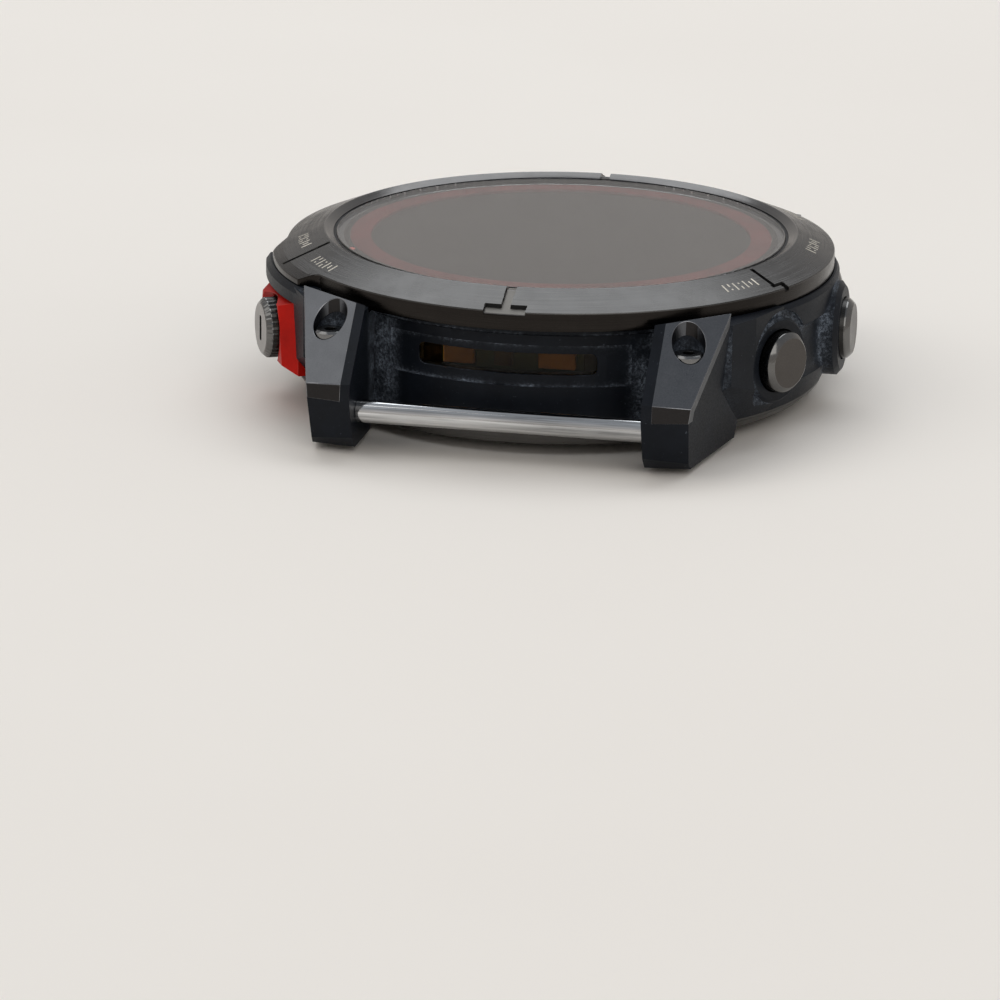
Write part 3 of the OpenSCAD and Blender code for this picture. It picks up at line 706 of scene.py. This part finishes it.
def slot_cutter(materials, angle, height, face):
    """The round-cornered block that cuts the start button's slot."""
    half_long, half_wide = SLOT_SIZE[0] / 2, SLOT_SIZE[1] / 2
    bm = block((-half_long, -half_wide, face - SLOT_DEPTH), (half_long, half_wide, face + 0.58))
    upright = [e for e in bm.edges if abs(e.verts[0].co.z - e.verts[1].co.z) > SLOT_DEPTH]
    bmesh.ops.bevel(bm, geom=upright, offset=0.22, segments=5, affect="EDGES", profile=0.5)
    bmesh.ops.recalc_face_normals(bm, faces=bm.faces)
    bmesh.ops.transform(bm, verts=bm.verts, matrix=facing_out(angle, height))
    # the slot's faces take the near-black slot material, which paints the shade inside it
    for face_of_slot in bm.faces:
        face_of_slot.material_index = len(materials) - 1
    mesh = bpy.data.meshes.new("slot_cutter")
    bm.to_mesh(mesh)
    bm.free()
    mesh.transform(Matrix.Scale(MM, 4))
    for material in materials:
        mesh.materials.append(material)
    cutter = bpy.data.objects.new("slot_cutter", mesh)
    bpy.context.scene.collection.objects.link(cutter)
    return cutter


def cut_slot(cap, angle, height, face):
    """Cuts the upright slot into the start button's face."""
    cutter = slot_cutter(cap.data.materials, angle, height, face)
    cut = cap.modifiers.new("slot", "BOOLEAN")
    cut.operation = "DIFFERENCE"
    cut.object = cutter
    cut.solver = "EXACT"
    cut.material_mode = "TRANSFER"
    apply_modifiers(cap)
    bpy.data.objects.remove(cutter)


def apply_modifiers(piece):
    """Bakes a piece's modifiers into its mesh."""
    bpy.context.view_layer.update()
    graph = bpy.context.evaluated_depsgraph_get()
    mesh = bpy.data.meshes.new_from_object(piece.evaluated_get(graph))
    piece.modifiers.clear()
    piece.data = mesh


def make_springs(material):
    """The return springs as they are when pressed home, so that they stay clear of their seats."""
    for name, angle in BUTTON_ANGLES.items():
        node = f"spring_{name}"
        way = outwards(angle)
        bm = cad_bmesh(node)
        far = max(vert.co.dot(way) for vert in bm.verts)
        near = min(vert.co.dot(way) for vert in bm.verts)
        share = SPRING_CLEAR / (far - near)
        for vert in bm.verts:
            vert.co += way * (far - vert.co.dot(way)) * share
        new_piece(f"coil_{name}", bm, (material,), body=f"button_{name}_body",
                  replaces=(node,))


def make_cover(material):
    """The back cover with its flat faces joined, so that it shades evenly round its screws."""
    cover = new_piece("cover_plate", cad_bmesh("back_cover"), (material,),
                      replaces=("back_cover",), smooth=30)
    bevelled(cover, 0.12, 2, 30)


def make_guard(mats):
    guard = new_piece("guard_plate", cad_bmesh("start_guard"), (mats["guard"], mats["guard_edge"]),
                      replaces=("start_guard",), smooth=20)
    bevelled(guard, 0.10, 2, 14, 1)


# ---- what stays as the CAD made it ----

def dress(materials):
    """Gives CAD nodes their materials, by the record's slot names."""
    wanted = {entry["node"]: entry["material_slot"] for entry in frame["record"]["subparts"]}
    for node, piece in frame["nodes"].items():
        piece.data.materials.clear()
        piece.data.materials.append(materials[wanted[node]])


def crisp_cad(node, width):
    """Adds rounded edges to a CAD node that stays: modifiers only, its mesh is untouched."""
    piece = frame["nodes"][node]
    weld = piece.modifiers.new("weld", "WELD")
    weld.merge_threshold = 0.002 * MM
    bevelled(piece, width, 2, 30.0)


# ---- stage ----

def make_floor():
    bm = bmesh.new()
    bmesh.ops.create_grid(bm, x_segments=1, y_segments=1, size=3.0)
    mesh = bpy.data.meshes.new("floor")
    bm.to_mesh(mesh)
    bm.free()
    floor = bpy.data.objects.new("floor", mesh)
    bpy.context.scene.collection.objects.link(floor)
    g = Graph("floor_paper")
    cloud = g.ramp(g.noise(g.coords, 9.0, 3.0, 0.5), 0.3, 0.7)
    shade = g.mix(cloud, (0.86, 0.815, 0.76), (0.885, 0.845, 0.79))
    g.set(base_color=shade, roughness=0.9, specular_ior_level=0.2)
    mesh.materials.append(g.material)


def make_sky():
    """A studio wall of soft light: warm and brighter at the horizon, cooler and dimmer overhead."""
    world = bpy.data.worlds.new("studio")
    bpy.context.scene.world = world
    world.use_nodes = True
    nodes, links = world.node_tree.nodes, world.node_tree.links
    coords = nodes.new("ShaderNodeTexCoord")
    split = nodes.new("ShaderNodeSeparateXYZ")
    links.new(coords.outputs["Generated"], split.inputs[0])
    ramp = nodes.new("ShaderNodeValToRGB")
    ramp.color_ramp.elements[0].position = 0.0
    ramp.color_ramp.elements[0].color = (0.60, 0.56, 0.52, 1)
    ramp.color_ramp.elements[1].position = 0.85
    ramp.color_ramp.elements[1].color = (0.40, 0.42, 0.45, 1)
    links.new(split.outputs["Z"], ramp.inputs[0])
    links.new(ramp.outputs[0], nodes["Background"].inputs["Color"])
    nodes["Background"].inputs["Strength"].default_value = 0.92


def softbox(name, place, size, power, color):
    """An area light at a place, aimed at the watch."""
    light = bpy.data.lights.new(name, "AREA")
    light.shape = "RECTANGLE"
    light.size, light.size_y = size
    light.energy = power
    light.color = color
    lamp = bpy.data.objects.new(name, light)
    lamp.location = place
    lamp.rotation_mode = "QUATERNION"
    lamp.rotation_quaternion = (-Vector(place)).to_track_quat("-Z", "Y")
    bpy.context.scene.collection.objects.link(lamp)


def make_stage():
    """Pale plain floor and soft studio light."""
    make_floor()
    make_sky()
    softbox("low_front", (-0.55, 1.0, 0.85), (1.0, 0.8), 3.4, (1.0, 0.97, 0.93))
    softbox("high_back", (0.0, -0.60, 1.05), (1.4, 0.7), 7.0, (0.94, 0.97, 1.0))
    softbox("high_side", (0.75, 0.25, 1.0), (0.9, 0.9), 2.6, (1.0, 0.97, 0.92))
    bpy.context.scene.view_settings.view_transform = "Standard"


def make_camera():
    """Looks at the 12 o'clock end from above: all its angles, distance and shifts are set here."""
    azimuth, elevation, roll = math.radians(191.87), math.radians(17.11), math.radians(0.70)
    distance, lens = 0.5, 196.46
    pan_right, pan_up = -5.2845 * MM, -25.0344 * MM
    back = Vector((math.sin(azimuth) * math.cos(elevation), -math.cos(azimuth) * math.cos(elevation),
                   math.sin(elevation)))
    right = Vector((math.cos(azimuth), math.sin(azimuth), 0))
    up = back.cross(right)
    tilted_right = math.cos(roll) * right + math.sin(roll) * up
    tilted_up = -math.sin(roll) * right + math.cos(roll) * up
    target = Vector((0, 0, RIM_Z * MM)) + pan_right * right + pan_up * up
    camera = bpy.data.cameras.new("photo_view")
    camera.lens = lens
    camera.sensor_width = 36
    camera.clip_start = 0.01
    holder = bpy.data.objects.new("photo_view", camera)
    bpy.context.scene.collection.objects.link(holder)
    turn = Matrix((tilted_right, tilted_up, back)).transposed().to_4x4()
    holder.matrix_world = Matrix.Translation(target + back * distance) @ turn
    bpy.context.scene.camera = holder


# ---- materials ----

def make_materials():
    """Materials of the new pieces, and one for each slot of the record."""
    mats = {
        "bezel": steel("bezel_cone", (0.080, 0.078, 0.076), 0.24, "round", 0.75, dust=0.4, bump=0.08),
        # a much darker copy of the bezel steel for the skirt: painted shade
        "skirt": steel("bezel_skirt_painted_shade", (0.026, 0.023, 0.021), 0.25, "round", dust=0.3, bump=0.12),
        "rim": steel("bezel_rim", (0.115, 0.112, 0.11), 0.18, "round", bump=0.05),
        # near-black in the bezel's grooves: painted shade
        "groove": plastic("groove_wall_painted_shade", (0.006, 0.006, 0.006), 0.6, specular=0.2),
        "notch": steel("notch_floor", (0.125, 0.118, 0.108), 0.42, "fine", dust=0.5),
        "paint": plastic("mark_paint", (0.62, 0.58, 0.50), 0.6, bump=0.2),
        "crystal": clear("crystal_clear", (0.96, 0.955, 0.95), 0.01, ior=1.32),
        "mask": plastic("glass_print", (0.012, 0.011, 0.010), 0.5, bump=0.0, specular=0.0),
        "red_dot": plastic("index_red", (0.90, 0.05, 0.02), 0.4),
        # heavy corner dust on the case: real dust, and painted light lifting its shaded walls
        "case": plastic("case_moulding", (0.0065, 0.0085, 0.0125), 0.42, dust=1.0, bump=0.3, specular=0.12),
        "lug": steel("lug_face", (0.115, 0.120, 0.130), 0.33, "fine", dust=0.3, bump=0.2),
        # darker copy of the lug steel for the tips: painted shade
        "lug_tip_painted_shade": steel("lug_tip_painted_shade", (0.035, 0.033, 0.033), 0.36, "fine", dust=0.3, bump=0.2),
        "lug_edge": steel("lug_edge", (0.23, 0.235, 0.25), 0.22, "fine", bump=0.1),
        # the pin's strong streaks paint bands of reflection along it
        "pin": steel("pin_polish", (0.72, 0.73, 0.74), 0.07, "straight_painted_streaks", bump=0.08),
        "button_side": steel("button_side", (0.040, 0.039, 0.038), 0.24, "fine", bump=0.1),
        "button_edge": steel("button_edge", (0.16, 0.158, 0.155), 0.14, "fine", bump=0.05),
        "button_face": steel("button_face", (0.082, 0.075, 0.070), 0.34, "fine", bump=0.2),
        # three times lighter than the other button faces: painted light
        "start_face": steel("start_face", (0.25, 0.24, 0.235), 0.30, "fine", bump=0.2),
        # near-black inside the steel button's slot: painted shade
        "slot": plastic("slot_painted_shade", (0.01, 0.01, 0.01), 0.5),
        "guard": plastic("guard_red", (0.42, 0.006, 0.002), 0.40, dust=0.06, bump=0.12, specular=0.12),
        "guard_edge": plastic("guard_worn", (0.50, 0.02, 0.010), 0.36, bump=0.1, specular=0.3),
        "phosphor": plastic("lamp_phosphor", (0.62, 0.36, 0.09), 0.4),
        "dark_lamp": plastic("lamp_dark", (0.03, 0.024, 0.015), 0.3),
    }
    slots = {
        "bezel_steel": mats["bezel"], "lug_steel": mats["lug"], "button_steel": mats["button_face"],
        "case_polymer": mats["case"], "guard_red": mats["guard"], "crystal_glass": mats["crystal"],
        "pin_steel": mats["pin"], "led_phosphor": mats["phosphor"],
        "back_steel": steel("back_plate", (0.085, 0.083, 0.080), 0.30, "round", 0.4, dust=0.3, bump=0.12),
        "screw_steel": steel("screw_head", (0.20, 0.20, 0.20), 0.20, "fine", bump=0.1),
        "sensor_polymer": plastic("sensor_ring", (0.006, 0.006, 0.007), 0.12, bump=0.05),
        "sensor_glass": clear("sensor_tint", (0.20, 0.20, 0.24)),
        "lens_tint": clear("lamp_tint", (0.34, 0.25, 0.12), 0.04, ior=1.22),
        "solar_film": plastic("solar_film", (0.15, 0.030, 0.028), 0.40, bump=0.1, specular=0.0),
        "display_black": plastic("display_dark", (0.032, 0.028, 0.025), 0.45, bump=0.05, specular=0.0),
        "light_guide": plastic("light_guide", (0.80, 0.81, 0.79), 0.35),
        "frame_metal": steel("stamped_frame", (0.42, 0.43, 0.45), 0.35, "fine"),
        "antenna_copper": steel("antenna_copper", (0.62, 0.40, 0.22), 0.3, "fine"),
        "board_green": plastic("solder_mask", (0.02, 0.10, 0.055), 0.3),
        "shield_tin": steel("tin_can", (0.70, 0.70, 0.68), 0.28, "straight_painted_streaks"),
        "battery_foil": steel("battery_foil", (0.62, 0.64, 0.66), 0.38, "fine"),
        "weight_metal": steel("sintered_weight", (0.32, 0.32, 0.34), 0.45, "fine"),
        "buzzer_brass": steel("buzzer_disc", (0.72, 0.56, 0.28), 0.3, "round"),
        "switch_black": plastic("socket_black", (0.012, 0.012, 0.012), 0.45, dust=0.3),
        "flex_copper": plastic("flex_film", (0.52, 0.24, 0.06), 0.3),
        "optics_green": plastic("optics", (0.16, 0.48, 0.20), 0.25),
        "contact_gold": steel("contact_gold", (0.83, 0.60, 0.25), 0.15, "fine"),
        "seal_rubber": plastic("seal_rubber", (0.010, 0.010, 0.011), 0.55, dust=0.3, specular=0.3),
        "clip_steel": steel("spring_steel", (0.55, 0.55, 0.56), 0.2, "fine"),
    }
    return mats, slots


def main():
    make_stage()
    mats, slots = make_materials()
    dress(slots)
    make_bezel(mats)
    make_marks(mats)
    make_glass(mats)
    make_case(mats["case"])
    make_lug_caps(mats)
    make_pins(mats["pin"])
    make_lamps(mats)
    make_buttons(mats)
    make_guard(mats)
    make_springs(slots["clip_steel"])
    make_cover(slots["back_steel"])
    for node, width in (("lug_screws", 0.08), ("back_screws", 0.06), ("charge_socket", 0.08)):
        crisp_cad(node, width)
    make_camera()


main()
